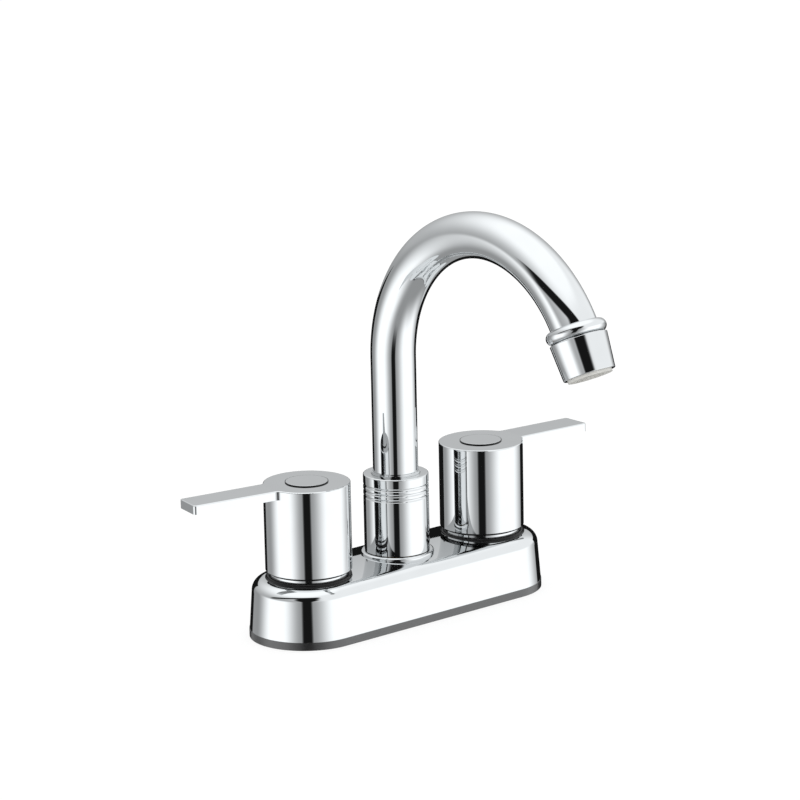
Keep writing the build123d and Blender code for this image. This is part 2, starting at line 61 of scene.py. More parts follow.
MM = 0.001
weld = 0.001 * MM

# Edges that turn more sharply than this show as edges, the rest is shaded round
crease = math.radians(50)
shell_crease = math.radians(40)

# Sizes of the pieces that are made here, in metres
valve_x = 50.8 * MM
valve_sides = (("hot", -valve_x), ("cold", valve_x))
tube_radius = 10.05 * MM
tube_wall = 1.0 * MM
tube_foot = 51.38 * MM
arc_start = 116.0 * MM
arc_radius = 62.4 * MM
arc_turn = math.radians(153.5)
tube_sides = 128
shank_bore = 6.5 * MM
shank_foot = -48.0 * MM
shank_step = -31.0 * MM
shank_top = 9.5 * MM
thread_end = 3.0 * MM
tail_crest = 10.45 * MM
shank_crest = 11.4 * MM
thread_pitch = 1.81 * MM
thread_depth = 0.95 * MM
card_distance = 290.0 * MM
card_half = 330.0 * MM
card_foot = -120.0 * MM
card_top = 95.0 * MM

# The cover's outline, in millimetres: an oblong with drafted sides and a crowned top
cover_end = 52.0
cover_foot = 3.5
cover_foot_radius = 25.7
cover_draft = math.radians(4.4)
cover_crown_top = 26.8
crown_radius = 230.0
cover_edge = 5.5
cover_wall = 2.2
valve_hole = 13.9
hub_hole = 13.7

# The photograph's camera
camera_azimuth = math.radians(-40.337)
camera_elevation = math.radians(13.738)
camera_roll = math.radians(-1.18)
camera_distance = 1.57339
camera_aim = (2.598 * MM, 93.422 * MM)
camera_lens = 157.9

# Shades of the tent, as an eye takes them: 0 black, 1 white
slit_shade = 0.11
card_shade = 0.12
room_shade = 0.56
panel_shade = 0.92
window_shade = 1.02
eye_power = 2.2
tent_brightness = 1.42
white = (1.0, 1.0, 1.0, 1.0)


def linear(hex_colour):
    """Linear RGBA from an sRGB hex value."""
    channels = [int(hex_colour[place:place + 2], 16) / 255 for place in (1, 3, 5)]
    curve = [c / 12.92 if c <= 0.04045 else ((c + 0.055) / 1.055) ** 2.4 for c in channels]
    return (*curve, 1.0)


def add_node(tree, kind, links=None, **settings):
    """Add a node with its settings. Links maps a socket's name or number to a value, or to the
    output that feeds it."""
    made = tree.nodes.new(kind)
    for name, value in settings.items():
        setattr(made, name, value)
    for socket, value in (links or {}).items():
        if isinstance(value, bpy.types.NodeSocket):
            tree.links.new(value, made.inputs[socket])
        else:
            made.inputs[socket].default_value = value
    return made


def new_material(name):
    """An empty material with its tree, its Principled shader and the place on the piece."""
    material = bpy.data.materials.new(name)
    material.use_nodes = True
    tree = material.node_tree
    shader = tree.nodes["Principled BSDF"]
    place = add_node(tree, "ShaderNodeTexCoord").outputs["Object"]
    return material, tree, shader, place


def polished_chrome_plate():
    """Mirror-bright plate: a cool light metal, with the faint haze and swell polishing leaves."""
    material, tree, shader, place = new_material("polished_chrome_plate")
    haze = add_node(tree, "ShaderNodeTexNoise", {"Vector": place, "Scale": 90.0, "Detail": 3.0})
    tone = add_node(tree, "ShaderNodeMix", {
        "Factor": haze.outputs["Fac"],
        "A": linear("#D5D7D8"),
        "B": linear("#DBDDDE"),
    }, data_type="RGBA")
    gloss = add_node(tree, "ShaderNodeMapRange", {
        "Value": haze.outputs["Fac"],
        "To Min": 0.012,
        "To Max": 0.04,
    })
    swell = add_node(tree, "ShaderNodeTexNoise", {"Vector": place, "Scale": 60.0, "Detail": 1.0})
    bump = add_node(tree, "ShaderNodeBump", {
        "Height": swell.outputs["Fac"],
        "Strength": 0.3,
        "Distance": 0.004 * MM,
    })
    tree.links.new(tone.outputs["Result"], shader.inputs["Base Color"])
    tree.links.new(gloss.outputs["Result"], shader.inputs["Roughness"])
    tree.links.new(bump.outputs["Normal"], shader.inputs["Normal"])
    shader.inputs["Metallic"].default_value = 1.0
    return material


def black_rubber(name, dark, light, shine):
    """Moulded rubber, near black. Shine is the skin a smooth mould leaves, which shows grey where
    it faces a window."""
    material, tree, shader, place = new_material(name)
    # The mould's spark grain, 0.05 mm, drawn at 0.4 mm so that it shows
    grain = add_node(tree, "ShaderNodeTexNoise", {"Vector": place, "Scale": 2500.0, "Detail": 2.0})
    # Bloom lies on it in patches of some 3 mm
    bloom = add_node(tree, "ShaderNodeTexNoise", {"Vector": place, "Scale": 330.0, "Detail": 3.0})
    tone = add_node(tree, "ShaderNodeMix", {
        "Factor": bloom.outputs["Fac"],
        "A": linear(dark),
        "B": linear(light),
    }, data_type="RGBA")
    gloss = add_node(tree, "ShaderNodeMapRange", {
        "Value": bloom.outputs["Fac"],
        "To Min": 0.24,
        "To Max": 0.36,
    })
    bump = add_node(tree, "ShaderNodeBump", {
        "Height": grain.outputs["Fac"],
        "Strength": 0.3,
        "Distance": 0.02 * MM,
    })
    tree.links.new(tone.outputs["Result"], shader.inputs["Base Color"])
    tree.links.new(gloss.outputs["Result"], shader.inputs["Roughness"])
    tree.links.new(bump.outputs["Normal"], shader.inputs["Normal"])
    shader.inputs["Specular IOR Level"].default_value = 0.25 + 0.25 * shine
    shader.inputs["IOR"].default_value = 1.5
    shader.inputs["Coat Weight"].default_value = shine
    shader.inputs["Coat IOR"].default_value = 1.6
    shader.inputs["Coat Roughness"].default_value = 0.2
    return material


def turned_brass():
    """Bare yellow brass off the lathe: fine rings of tool marks round the axis, a little dulled."""
    material, tree, shader, place = new_material("turned_brass")
    height = add_node(tree, "ShaderNodeSeparateXYZ", {"Vector": place}).outputs["Z"]
    mark_spacing = 0.25 * MM
    rings = add_node(tree, "ShaderNodeMath", {
        0: height,
        1: 2 * math.pi / mark_spacing,
    }, operation="MULTIPLY")
    marks = add_node(tree, "ShaderNodeMath", {0: rings.outputs[0]}, operation="SINE")
    dulling = add_node(tree, "ShaderNodeTexNoise", {"Vector": place, "Scale": 150.0, "Detail": 4.0})
    tone = add_node(tree, "ShaderNodeMix", {
        "Factor": dulling.outputs["Fac"],
        "A": linear("#B8923F"),
        "B": linear("#E0BE6C"),
    }, data_type="RGBA")
    gloss = add_node(tree, "ShaderNodeMapRange", {
        "Value": dulling.outputs["Fac"],
        "To Min": 0.38,
        "To Max": 0.2,
    })
    bump = add_node(tree, "ShaderNodeBump", {
        "Height": marks.outputs[0],
        "Strength": 0.25,
        "Distance": 0.02 * MM,
    })
    tree.links.new(tone.outputs["Result"], shader.inputs["Base Color"])
    tree.links.new(gloss.outputs["Result"], shader.inputs["Roughness"])
    tree.links.new(bump.outputs["Normal"], shader.inputs["Normal"])
    shader.inputs["Metallic"].default_value = 1.0
    return material


def cast_brass():
    """Sand-cast brass: browner than turned brass, with the grain of the mould in its skin."""
    material, tree, shader, place = new_material("cast_brass")
    # Sand grain about 0.5 mm across
    grain = add_node(tree, "ShaderNodeTexVoronoi", {"Vector": place, "Scale": 2000.0})
    stain = add_node(tree, "ShaderNodeTexNoise", {"Vector": place, "Scale": 90.0, "Detail": 5.0})
    tone = add_node(tree, "ShaderNodeMix", {
        "Factor": stain.outputs["Fac"],
        "A": linear("#8C6A33"),
        "B": linear("#C9A25A"),
    }, data_type="RGBA")
    bump = add_node(tree, "ShaderNodeBump", {
        "Height": grain.outputs["Distance"],
        "Strength": 0.6,
        "Distance": 0.12 * MM,
    })
    tree.links.new(tone.outputs["Result"], shader.inputs["Base Color"])
    tree.links.new(bump.outputs["Normal"], shader.inputs["Normal"])
    shader.inputs["Metallic"].default_value = 1.0
    shader.inputs["Roughness"].default_value = 0.45
    return material


def stainless_steel():
    """Plain stainless steel: grey, softly brushed, with short streaks in its gloss."""
    material, tree, shader, place = new_material("stainless_steel")
    stretched = add_node(tree, "ShaderNodeMapping", {"Vector": place, "Scale": (1.0, 12.0, 12.0)})
    streaks = add_node(tree, "ShaderNodeTexNoise", {
        "Vector": stretched.outputs["Vector"],
        "Scale": 300.0,
        "Detail": 3.0,
    })
    tone = add_node(tree, "ShaderNodeMix", {
        "Factor": streaks.outputs["Fac"],
        "A": linear("#B4B6B8"),
        "B": linear("#D2D3D4"),
    }, data_type="RGBA")
    gloss = add_node(tree, "ShaderNodeMapRange", {
        "Value": streaks.outputs["Fac"],
        "To Min": 0.22,
        "To Max": 0.36,
    })
    tree.links.new(tone.outputs["Result"], shader.inputs["Base Color"])
    tree.links.new(gloss.outputs["Result"], shader.inputs["Roughness"])
    shader.inputs["Metallic"].default_value = 1.0
    return material


def moulded_white_plastic():
    """Moulded acetal: milky white with a soft, slightly uneven sheen."""
    material, tree, shader, place = new_material("moulded_white_plastic")
    flow = add_node(tree, "ShaderNodeTexNoise", {"Vector": place, "Scale": 220.0, "Detail": 2.0})
    tone = add_node(tree, "ShaderNodeMix", {
        "Factor": flow.outputs["Fac"],
        "A": linear("#DAD9D2"),
        "B": linear("#EFEEEA"),
    }, data_type="RGBA")
    gloss = add_node(tree, "ShaderNodeMapRange", {
        "Value": flow.outputs["Fac"],
        "To Min": 0.3,
        "To Max": 0.42,
    })
    tree.links.new(tone.outputs["Result"], shader.inputs["Base Color"])
    tree.links.new(gloss.outputs["Result"], shader.inputs["Roughness"])
    return material


def lapped_alumina():
    """Fired and lapped alumina: ivory white, dense, with a silky gloss and faint specks."""
    material, tree, shader, place = new_material("lapped_alumina")
    specks = add_node(tree, "ShaderNodeTexNoise", {"Vector": place, "Scale": 1500.0, "Detail": 2.0})
    tone = add_node(tree, "ShaderNodeMix", {
        "Factor": specks.outputs["Fac"],
        "A": linear("#E4DECF"),
        "B": linear("#F5F1E6"),
    }, data_type="RGBA")
    tree.links.new(tone.outputs["Result"], shader.inputs["Base Color"])
    shader.inputs["Roughness"].default_value = 0.18
    return material


def place_in_scene(name, data):
    """A new object in the scene."""
    made = bpy.data.objects.new(name, data)
    bpy.context.scene.collection.objects.link(made)
    return made


def close_up(mesh):
    """Weld the points of a mesh that lie together, and turn its faces outwards."""
    shell = bmesh.new()
    shell.from_mesh(mesh)
    bmesh.ops.remove_doubles(shell, verts=shell.verts, dist=weld)
    bmesh.ops.recalc_face_normals(shell, faces=shell.faces)
    shell.to_mesh(mesh)
    shell.free()


def coat(mesh, material, sharp):
    """Shade a mesh smooth, but for edges sharper than an angle, and give it its material."""
    mesh.shade_smooth()
    mesh.set_sharp_from_angle(angle=sharp)
    mesh.materials.append(material)


def mesh_of(modified):
    """Plain mesh of an object as its modifiers make it."""
    bpy.context.view_layer.update()
    graph = bpy.context.evaluated_depsgraph_get()
    return bpy.data.meshes.new_from_object(modified.evaluated_get(graph))


def made_by_tree(name, tree, sizes):
    """Object that a geometry tree makes from named sizes, as a plain mesh."""
    maker = place_in_scene(name, bpy.data.meshes.new(name))
    modifier = maker.modifiers.new("maker", "NODES")
    modifier.node_group = tree
    for item in tree.interface.items_tree:
        if item.in_out == "INPUT" and item.name in sizes:
            modifier[item.identifier] = sizes[item.name]
    made = mesh_of(maker)
    maker.modifiers.clear()
    maker.data = made
    return maker


def new_geometry_tree(name, sizes):
    """A geometry tree with one named number for each size, and its input and output nodes."""
    tree = bpy.data.node_groups.new(name, "GeometryNodeTree")
    for label in sizes:
        tree.interface.new_socket(name=label, in_out="INPUT", socket_type="NodeSocketFloat")
    tree.interface.new_socket(name="Piece", in_out="OUTPUT", socket_type="NodeSocketGeometry")
    return tree, add_node(tree, "NodeGroupInput").outputs, add_node(tree, "NodeGroupOutput")


def bent_tube_tree(material):
    """Outer skin of a bent tube: a circle led along a line of points, straight up, then round."""
    tree, size, end = new_geometry_tree("bent_tube", (
        "Foot", "Straight", "Bend radius", "Bend", "Radius"))
    points = 260
    index = add_node(tree, "GeometryNodeInputIndex").outputs[0]
    bend_length = add_node(tree, "ShaderNodeMath", {
        0: size["Bend radius"],
        1: size["Bend"],
    }, operation="MULTIPLY")
    length = add_node(tree, "ShaderNodeMath", {
        0: size["Straight"],
        1: bend_length.outputs[0],
    }, operation="ADD")
    step = add_node(tree, "ShaderNodeMath", {
        0: length.outputs[0],
        1: points - 1.0,
    }, operation="DIVIDE")
    along = add_node(tree, "ShaderNodeMath", {0: index, 1: step.outputs[0]}, operation="MULTIPLY")
    rise = add_node(tree, "ShaderNodeMath", {
        0: along.outputs[0],
        1: size["Straight"],
    }, operation="MINIMUM")
    rest = add_node(tree, "ShaderNodeMath", {
        0: along.outputs[0],
        1: rise.outputs[0],
    }, operation="SUBTRACT")
    turn = add_node(tree, "ShaderNodeMath", {
        0: rest.outputs[0],
        1: size["Bend radius"],
    }, operation="DIVIDE")
    cosine = add_node(tree, "ShaderNodeMath", {0: turn.outputs[0]}, operation="COSINE")
    sine = add_node(tree, "ShaderNodeMath", {0: turn.outputs[0]}, operation="SINE")
    inward = add_node(tree, "ShaderNodeMath", {0: cosine.outputs[0], 1: 1.0}, operation="SUBTRACT")
    out = add_node(tree, "ShaderNodeMath", {
        0: inward.outputs[0],
        1: size["Bend radius"],
    }, operation="MULTIPLY")
    lift = add_node(tree, "ShaderNodeMath", {
        0: sine.outputs[0],
        1: size["Bend radius"],
    }, operation="MULTIPLY")
    base = add_node(tree, "ShaderNodeMath", {0: size["Foot"], 1: rise.outputs[0]}, operation="ADD")
    height = add_node(tree, "ShaderNodeMath", {
        0: base.outputs[0],
        1: lift.outputs[0],
    }, operation="ADD")
    place = add_node(tree, "ShaderNodeCombineXYZ", {"Y": out.outputs[0], "Z": height.outputs[0]})
    line = add_node(tree, "GeometryNodeMeshLine", {"Count": points})
    bent = add_node(tree, "GeometryNodeSetPosition", {
        "Geometry": line.outputs["Mesh"],
        "Position": place.outputs["Vector"],
    })
    route = add_node(tree, "GeometryNodeMeshToCurve", {"Mesh": bent.outputs["Geometry"]})
    section = add_node(tree, "GeometryNodeCurvePrimitiveCircle", {
        "Resolution": tube_sides,
        "Radius": size["Radius"],
    })
    skin = add_node(tree, "GeometryNodeCurveToMesh", {
        "Curve": route.outputs["Curve"],
        "Profile Curve": section.outputs["Curve"],
    })
    smooth = add_node(tree, "GeometryNodeSetShadeSmooth", {"Geometry": skin.outputs["Mesh"]})
    real = add_node(tree, "GeometryNodeRealizeInstances", {"Geometry": smooth.outputs["Geometry"]})
    coated = add_node(tree, "GeometryNodeSetMaterial", {
        "Geometry": real.outputs["Geometry"],
        "Material": material,
    })
    tree.links.new(coated.outputs["Geometry"], end.inputs["Piece"])
    return tree


def spout(chrome):
    """The bent tube of the spout, hollow, with the wall turned inwards."""
    tube = made_by_tree("spout_bent_tube", bent_tube_tree(chrome), {
        "Foot": tube_foot,
        "Straight": arc_start - tube_foot,
        "Bend radius": arc_radius,
        "Bend": arc_turn,
        "Radius": tube_radius,
    })
    lowest_ring = tube.data.polygons[:tube_sides]
    outward = sum(face.normal.x * face.center.x + face.normal.y * face.center.y
                  for face in lowest_ring)
    if outward < 0:
        tube.data.flip_normals()
    wall = tube.modifiers.new("wall", "SOLIDIFY")
    wall.thickness = tube_wall
    wall.offset = -1.0
    hollow = mesh_of(tube)
    tube.modifiers.clear()
    tube.data = hollow
    tube.data.set_sharp_from_angle(angle=shell_crease)
    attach(tube, "spout")
    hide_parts("spout_tube")


def threaded_shank_tree(material):
    """Brass tube with an outside thread: rows of points climb with the thread, eight to each turn.
    The first row and the last two are the bore. The last lies on the first and closes the foot."""
    tree, size, end = new_geometry_tree("threaded_shank", (
        "Across", "Bore", "Foot", "Step", "Thread end",
        "Top", "Tail crest", "Crest", "Pitch", "Depth"))
    rows_a_turn = 8.0
    columns = 65
    crest_share, root_share = 0.07, 0.43
    foot_cut = 1.15
    reach = add_node(tree, "ShaderNodeMath", {
        0: size["Top"],
        1: size["Foot"],
    }, operation="SUBTRACT")
    turns = add_node(tree, "ShaderNodeMath", {
        0: reach.outputs[0],
        1: size["Pitch"],
    }, operation="DIVIDE")
    all_rows = add_node(tree, "ShaderNodeMath", {
        0: turns.outputs[0],
        1: rows_a_turn,
        2: rows_a_turn,
    }, operation="MULTIPLY_ADD")
    outer_rows = add_node(tree, "ShaderNodeMath", {
        0: all_rows.outputs[0],
    }, operation="CEIL").outputs[0]
    gaps = add_node(tree, "ShaderNodeMath", {0: outer_rows, 1: 3.0}, operation="ADD")
    count = add_node(tree, "ShaderNodeMath", {0: outer_rows, 1: 4.0}, operation="ADD")
    sheet = add_node(tree, "GeometryNodeMeshGrid", {
        "Size X": 1.0,
        "Size Y": 1.0,
        "Vertices X": columns,
        "Vertices Y": count.outputs[0],
    })
    position = add_node(tree, "GeometryNodeInputPosition").outputs[0]
    spot = add_node(tree, "ShaderNodeSeparateXYZ", {"Vector": position})
    part_turn = add_node(tree, "ShaderNodeMath", {
        0: spot.outputs["X"],
        1: 0.5,
    }, operation="ADD").outputs[0]
    fraction = add_node(tree, "ShaderNodeMath", {0: spot.outputs["Y"], 1: 0.5}, operation="ADD")
    row = add_node(tree, "ShaderNodeMath", {
        0: fraction.outputs[0],
        1: gaps.outputs[0],
        2: -1.0,
    }, operation="MULTIPLY_ADD").outputs[0]

    row_turns = add_node(tree, "ShaderNodeMath", {
        0: row,
        1: rows_a_turn,
    }, operation="DIVIDE").outputs[0]
    climbed = add_node(tree, "ShaderNodeMath", {0: row_turns, 1: part_turn}, operation="ADD")
    started = add_node(tree, "ShaderNodeMath", {
        0: climbed.outputs[0],
        1: 1.0,
    }, operation="SUBTRACT")
    free_height = add_node(tree, "ShaderNodeMath", {
        0: started.outputs[0],
        1: size["Pitch"],
        2: size["Foot"],
    }, operation="MULTIPLY_ADD")
    above_foot = add_node(tree, "ShaderNodeMath", {
        0: free_height.outputs[0],
        1: size["Foot"],
    }, operation="MAXIMUM")
    height = add_node(tree, "ShaderNodeMath", {
        0: above_foot.outputs[0],
        1: size["Top"],
    }, operation="MINIMUM").outputs[0]

    phase = add_node(tree, "ShaderNodeMath", {0: row_turns}, operation="FRACT")
    from_middle = add_node(tree, "ShaderNodeMath", {
        0: phase.outputs[0],
        1: 0.5,
    }, operation="SUBTRACT")
    from_crest = add_node(tree, "ShaderNodeMath", {0: from_middle.outputs[0]}, operation="ABSOLUTE")
    flank = add_node(tree, "ShaderNodeMapRange", {
        "Value": from_crest.outputs[0],
        "From Min": crest_share,
        "From Max": root_share,
    })
    runout_start = add_node(tree, "ShaderNodeMath", {
        0: size["Thread end"],
        1: size["Pitch"],
    }, operation="SUBTRACT")
    runout = add_node(tree, "ShaderNodeMapRange", {
        "Value": height,
        "From Min": runout_start.outputs[0],
        "From Max": size["Thread end"],
        "To Min": 1.0,
        "To Max": 0.0,
    })
    cut = add_node(tree, "ShaderNodeMath", {
        0: flank.outputs["Result"],
        1: runout.outputs["Result"],
    }, operation="MULTIPLY")
    groove = add_node(tree, "ShaderNodeMath", {
        0: cut.outputs[0],
        1: size["Depth"],
    }, operation="MULTIPLY")
    on_tail = add_node(tree, "ShaderNodeMath", {0: height, 1: size["Step"]}, operation="LESS_THAN")
    crest = add_node(tree, "ShaderNodeMix", {
        "Factor": on_tail.outputs[0],
        "A": size["Crest"],
        "B": size["Tail crest"],
    })
    threaded = add_node(tree, "ShaderNodeMath", {
        0: crest.outputs["Result"],
        1: groove.outputs[0],
    }, operation="SUBTRACT")
    foot_radius = add_node(tree, "ShaderNodeMath", {
        0: size["Depth"],
        1: -foot_cut,
        2: size["Tail crest"],
    }, operation="MULTIPLY_ADD")
    up_from_foot = add_node(tree, "ShaderNodeMath", {
        0: height,
        1: size["Foot"],
    }, operation="SUBTRACT")
    chamfer = add_node(tree, "ShaderNodeMath", {
        0: foot_radius.outputs[0],
        1: up_from_foot.outputs[0],
    }, operation="ADD")
    outside = add_node(tree, "ShaderNodeMath", {
        0: threaded.outputs[0],
        1: chamfer.outputs[0],
    }, operation="MINIMUM")

    last_outer = add_node(tree, "ShaderNodeMath", {0: outer_rows, 1: 0.5}, operation="ADD")
    before = add_node(tree, "ShaderNodeMath", {0: row, 1: -0.5}, operation="LESS_THAN")
    after = add_node(tree, "ShaderNodeMath", {
        0: row,
        1: last_outer.outputs[0],
    }, operation="GREATER_THAN")
    in_bore = add_node(tree, "ShaderNodeMath", {
        0: before.outputs[0],
        1: after.outputs[0],
    }, operation="ADD")
    radius = add_node(tree, "ShaderNodeMix", {
        "Factor": in_bore.outputs[0],
        "A": outside.outputs[0],
        "B": size["Bore"],
    }).outputs["Result"]
    back_down = add_node(tree, "ShaderNodeMath", {0: outer_rows, 1: 1.5}, operation="ADD")
    closing = add_node(tree, "ShaderNodeMath", {
        0: row,
        1: back_down.outputs[0],
    }, operation="GREATER_THAN")
    level = add_node(tree, "ShaderNodeMix", {
        "Factor": closing.outputs[0],
        "A": height,
        "B": size["Foot"],
    }).outputs["Result"]

    angle = add_node(tree, "ShaderNodeMath", {
        0: part_turn,
        1: 2 * math.pi,
    }, operation="MULTIPLY").outputs[0]
    cosine = add_node(tree, "ShaderNodeMath", {0: angle}, operation="COSINE")
    sine = add_node(tree, "ShaderNodeMath", {0: angle}, operation="SINE")
    across = add_node(tree, "ShaderNodeMath", {
        0: cosine.outputs[0],
        1: radius,
        2: size["Across"],
    }, operation="MULTIPLY_ADD")
    away = add_node(tree, "ShaderNodeMath", {0: sine.outputs[0], 1: radius}, operation="MULTIPLY")
    place = add_node(tree, "ShaderNodeCombineXYZ", {
        "X": across.outputs[0],
        "Y": away.outputs[0],
        "Z": level,
    })
    wound = add_node(tree, "GeometryNodeSetPosition", {
        "Geometry": sheet.outputs["Mesh"],
        "Position": place.outputs["Vector"],
    })
    closed = add_node(tree, "GeometryNodeMergeByDistance", {
        "Geometry": wound.outputs["Geometry"],
        "Distance": 2 * weld,
    })
    smooth = add_node(tree, "GeometryNodeSetShadeSmooth", {"Geometry": closed.outputs["Geometry"]})
    real = add_node(tree, "GeometryNodeRealizeInstances", {"Geometry": smooth.outputs["Geometry"]})
    coated = add_node(tree, "GeometryNodeSetMaterial", {
        "Geometry": real.outputs["Geometry"],
        "Material": material,
    })
    tree.links.new(coated.outputs["Geometry"], end.inputs["Piece"])
    return tree


def threaded_shanks(brass):
    """The two inlet shanks, each threaded for its nut, with a thinner tail for the hose."""
    winding = threaded_shank_tree(brass)
    for side, across in valve_sides:
        shank = made_by_tree(f"{side}_threaded_shank", winding, {
            "Across": across,
            "Bore": shank_bore,
            "Foot": shank_foot,
            "Step": shank_step,
            "Thread end": thread_end,
            "Top": shank_top,
            "Tail crest": tail_crest,
            "Crest": shank_crest,
            "Pitch": thread_pitch,
            "Depth": thread_depth,
        })
        close_up(shank.data)
        shank.data.set_sharp_from_angle(angle=crease)
        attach(shank, "base")
        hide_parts(f"{side}_shank")


def turned(name, outline, across, material):
    """A ring turned from a closed outline of radius and height, in millimetres, about a line at
    one X."""
    steps = 160
    mesh = bpy.data.meshes.new(name)
    points = []
    for step in range(steps):
        angle = 2 * math.pi * step / steps
        cosine, sine = math.cos(angle), math.sin(angle)
        points += [(across + radius * MM * cosine, radius * MM * sine, height * MM)
                   for radius, height in outline]
    count = len(outline)
    faces = []
    for step in range(steps):
        here, there = step * count, (step + 1) % steps * count
        for corner in range(count):
            after = (corner + 1) % count
            faces.append((here + corner, there + corner, there + after, here + after))
    mesh.from_pydata(points, [], faces)
    close_up(mesh)
    coat(mesh, material, crease)
    return place_in_scene(name, mesh)


def rounded_rim(radius, top, rounding):
    """Outline of a rim rounded by a quarter circle, from its side to its top."""
    turns = [math.pi / 2 * step / 8 for step in range(9)]
    side, level = radius - rounding, top - rounding
    return [(side + rounding * math.cos(turn), level + rounding * math.sin(turn)) for turn in turns]


def handle_boots_and_skirt_shade(rubber):
    """Under each handle: a rubber boot round the boss, with a lip that shows as a line, and above
    it a dull black ring in the gap under the skirt, which is painted shade of that gap."""
    boot = [(19.3, 25.9), (19.3, 26.2), (19.2, 26.34), (19.05, 26.42), (18.9, 26.5),
            (18.86, 26.9), (18.6, 27.2), (18.2, 27.4), (17.44, 27.45), (17.44, 26.83),
            (18.83, 26.83), (18.83, 25.9)]
    # The black ring in the gap under the skirt is painted shade: it stands for the shadow there
    shade_ring_radius, shade_ring_height, cord = 17.3, 29.0, 0.48
    turns = [math.radians(22.5 * corner) for corner in range(16)]
    skirt_shade_ring = [(shade_ring_radius + cord * math.cos(turn), shade_ring_height + cord * math.sin(turn))
             for turn in turns]
    for side, across in valve_sides:
        for name, outline in (("handle_boot", boot), ("painted_skirt_shade", skirt_shade_ring)):
            seal = turned(f"{side}_{name}", outline, across, rubber)
            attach(seal, "base")


def index_buttons(chrome, rubber):
    """The cap over each handle's screw, a little proud of the handle, and a dull black ring in the
    gap round it, which is painted shade of that gap.
    """
    cap = [(0.0, 65.1), (4.2, 65.1), (4.2, 66.3), (9.25, 66.3), (9.25, 69.0), (9.22, 69.07),
           (9.14, 69.1), (9.05, 69.1), (0.0, 69.1)]
    # The ring round the cap is painted shade: black rubber set in the gap to stand for its shadow
    grip = [(9.27, 66.4), (9.5, 66.4), (9.5, 68.99), (9.43, 69.04), (9.27, 69.05)]
    for side, across in valve_sides:
        button = turned(f"{side}_proud_button", cap, across, chrome)
        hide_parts(f"{side}_index_button")
        # Painted shade of the gap round the cap
        ring = turned(f"{side}_button_gap_shade", grip, across, rubber)
        for piece in (button, ring):
            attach(piece, f"{side}_lever")


def lever_roots(chrome):
    """The hollow corners where each lever leaves the round of its handle, with the same rounded
    upper edge. The plan is drawn for a lever along X, in millimetres, and then swung."""
    handle, half_width, corner, edge_round = 19.1, 7.5, 3.0, 0.5
    lever_foot, lever_top, inside = 64.6, 68.59, (15.5, -5.5)
    lever_reach, narrowing = 57.9, 0.4
    swings = (168.8, -1.8)
    arc_steps, edge_steps = 14, 6
    taper = math.atan2(narrowing, lever_reach)
    along = Vector((math.cos(taper), math.sin(taper)))
    out = Vector((math.sin(taper), -math.cos(taper)))
    start = Vector((0.0, -half_width)) + corner * out
    offset = start.dot(along)
    past = math.sqrt(offset ** 2 - start.length_squared + (handle + corner) ** 2)
    middle = start + along * (past - offset)
    first, last = math.atan2(-middle.y, -middle.x), math.atan2(-out.y, -out.x)
    levels = [(lever_foot, 0.0)]
    for step in range(edge_steps + 1):
        turn = math.pi / 2 * step / edge_steps
        drop, inset = edge_round * (1 - math.sin(turn)), edge_round * (1 - math.cos(turn))
        levels.append((lever_top - drop, inset))
    count = arc_steps + 2
    for (side, across), swing in zip(valve_sides, swings):
        swung = Matrix.Rotation(math.radians(swing), 2)
        roots = bmesh.new()
        for mirror in (1, -1):
            rows = []
            for height, inset in levels:
                plan = [Vector(inside)]
                for step in range(arc_steps + 1):
                    turn = first + (last - first) * step / arc_steps
                    toward = Vector((math.cos(turn), math.sin(turn)))
                    plan.append(middle + (corner + inset) * toward)
                flat = [swung @ Vector((point.x, mirror * point.y)) for point in plan]
                rows.append([roots.verts.new((across + point.x * MM, point.y * MM, height * MM))
                             for point in flat])
            for lower, upper in zip(rows, rows[1:]):
                for place in range(count):
                    after = (place + 1) % count
                    roots.faces.new((lower[place], lower[after], upper[after], upper[place]))
            for cap in (rows[0], rows[-1]):
                for place in range(1, count - 1):
                    roots.faces.new((cap[0], cap[place], cap[place + 1]))
        bmesh.ops.recalc_face_normals(roots, faces=roots.faces)
        mesh = bpy.data.meshes.new(f"{side}_lever_roots")
        roots.to_mesh(mesh)
        roots.free()
        coat(mesh, chrome, crease)
        made = place_in_scene(f"{side}_lever_roots", mesh)
        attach(made, f"{side}_lever")


def collar(chrome):
    """The tall nut under the spout, with three round-bottomed grip grooves."""
    radius, foot_bore, bore, mouth, rounding = 14.6, 13.7, 12.8, 11.0, 0.6
    foot, shoulder, roof, top = 28.25, 30.0, 61.3, 63.3
    groove_half, groove_depth, groove_lip, half_steps = 0.74, 0.32, 0.05, 6
    outline = [(foot_bore, shoulder), (foot_bore, foot), (radius, foot)]
    for middle in (53.5, 55.95, 58.4):
        outline.append((radius, middle - groove_half - groove_lip))
        for step in range(-half_steps, half_steps + 1):
            share = step / half_steps
            depth = groove_depth * (1 - share * share)
            outline.append((radius - depth, middle + groove_half * share))
        outline.append((radius, middle + groove_half + groove_lip))
    outline += rounded_rim(radius, top, rounding)
    outline += [(mouth, top), (mouth, roof), (bore, roof), (bore, shoulder)]
    nut = turned("grooved_collar", outline, 0.0, chrome)
    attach(nut, "base")
    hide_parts("spout_nut")


